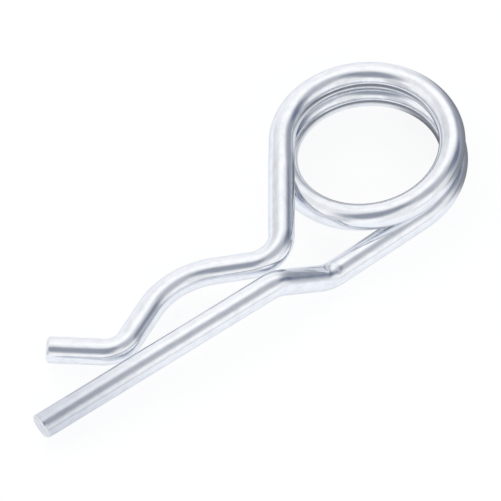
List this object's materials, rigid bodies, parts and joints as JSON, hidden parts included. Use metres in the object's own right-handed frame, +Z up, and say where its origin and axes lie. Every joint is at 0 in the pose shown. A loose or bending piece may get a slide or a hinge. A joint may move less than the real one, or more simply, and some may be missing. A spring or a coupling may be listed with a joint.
{
  "type": "r clip",
  "caption": "Spring cotter of bent round steel wire: a straight leg for a bolt's cross hole, a wavy sprung leg that grips the bolt, and a coiled finger ring.",
  "frame": {"origin": "middle of the clip's footprint, on the surface it rests on", "axes": "+Z up from that surface; +X along the straight leg's footprint, from its cut end towards the coil; +Y from the straight leg towards the sprung leg"},
  "size_m": [0.1048, 0.0378, 0.0139],
  "materials": {
    "plated_wire": "gloss"
  },
  "bodies": {
    "root": {"r_clip": "plated_wire"}
  },
  "joints": []
}
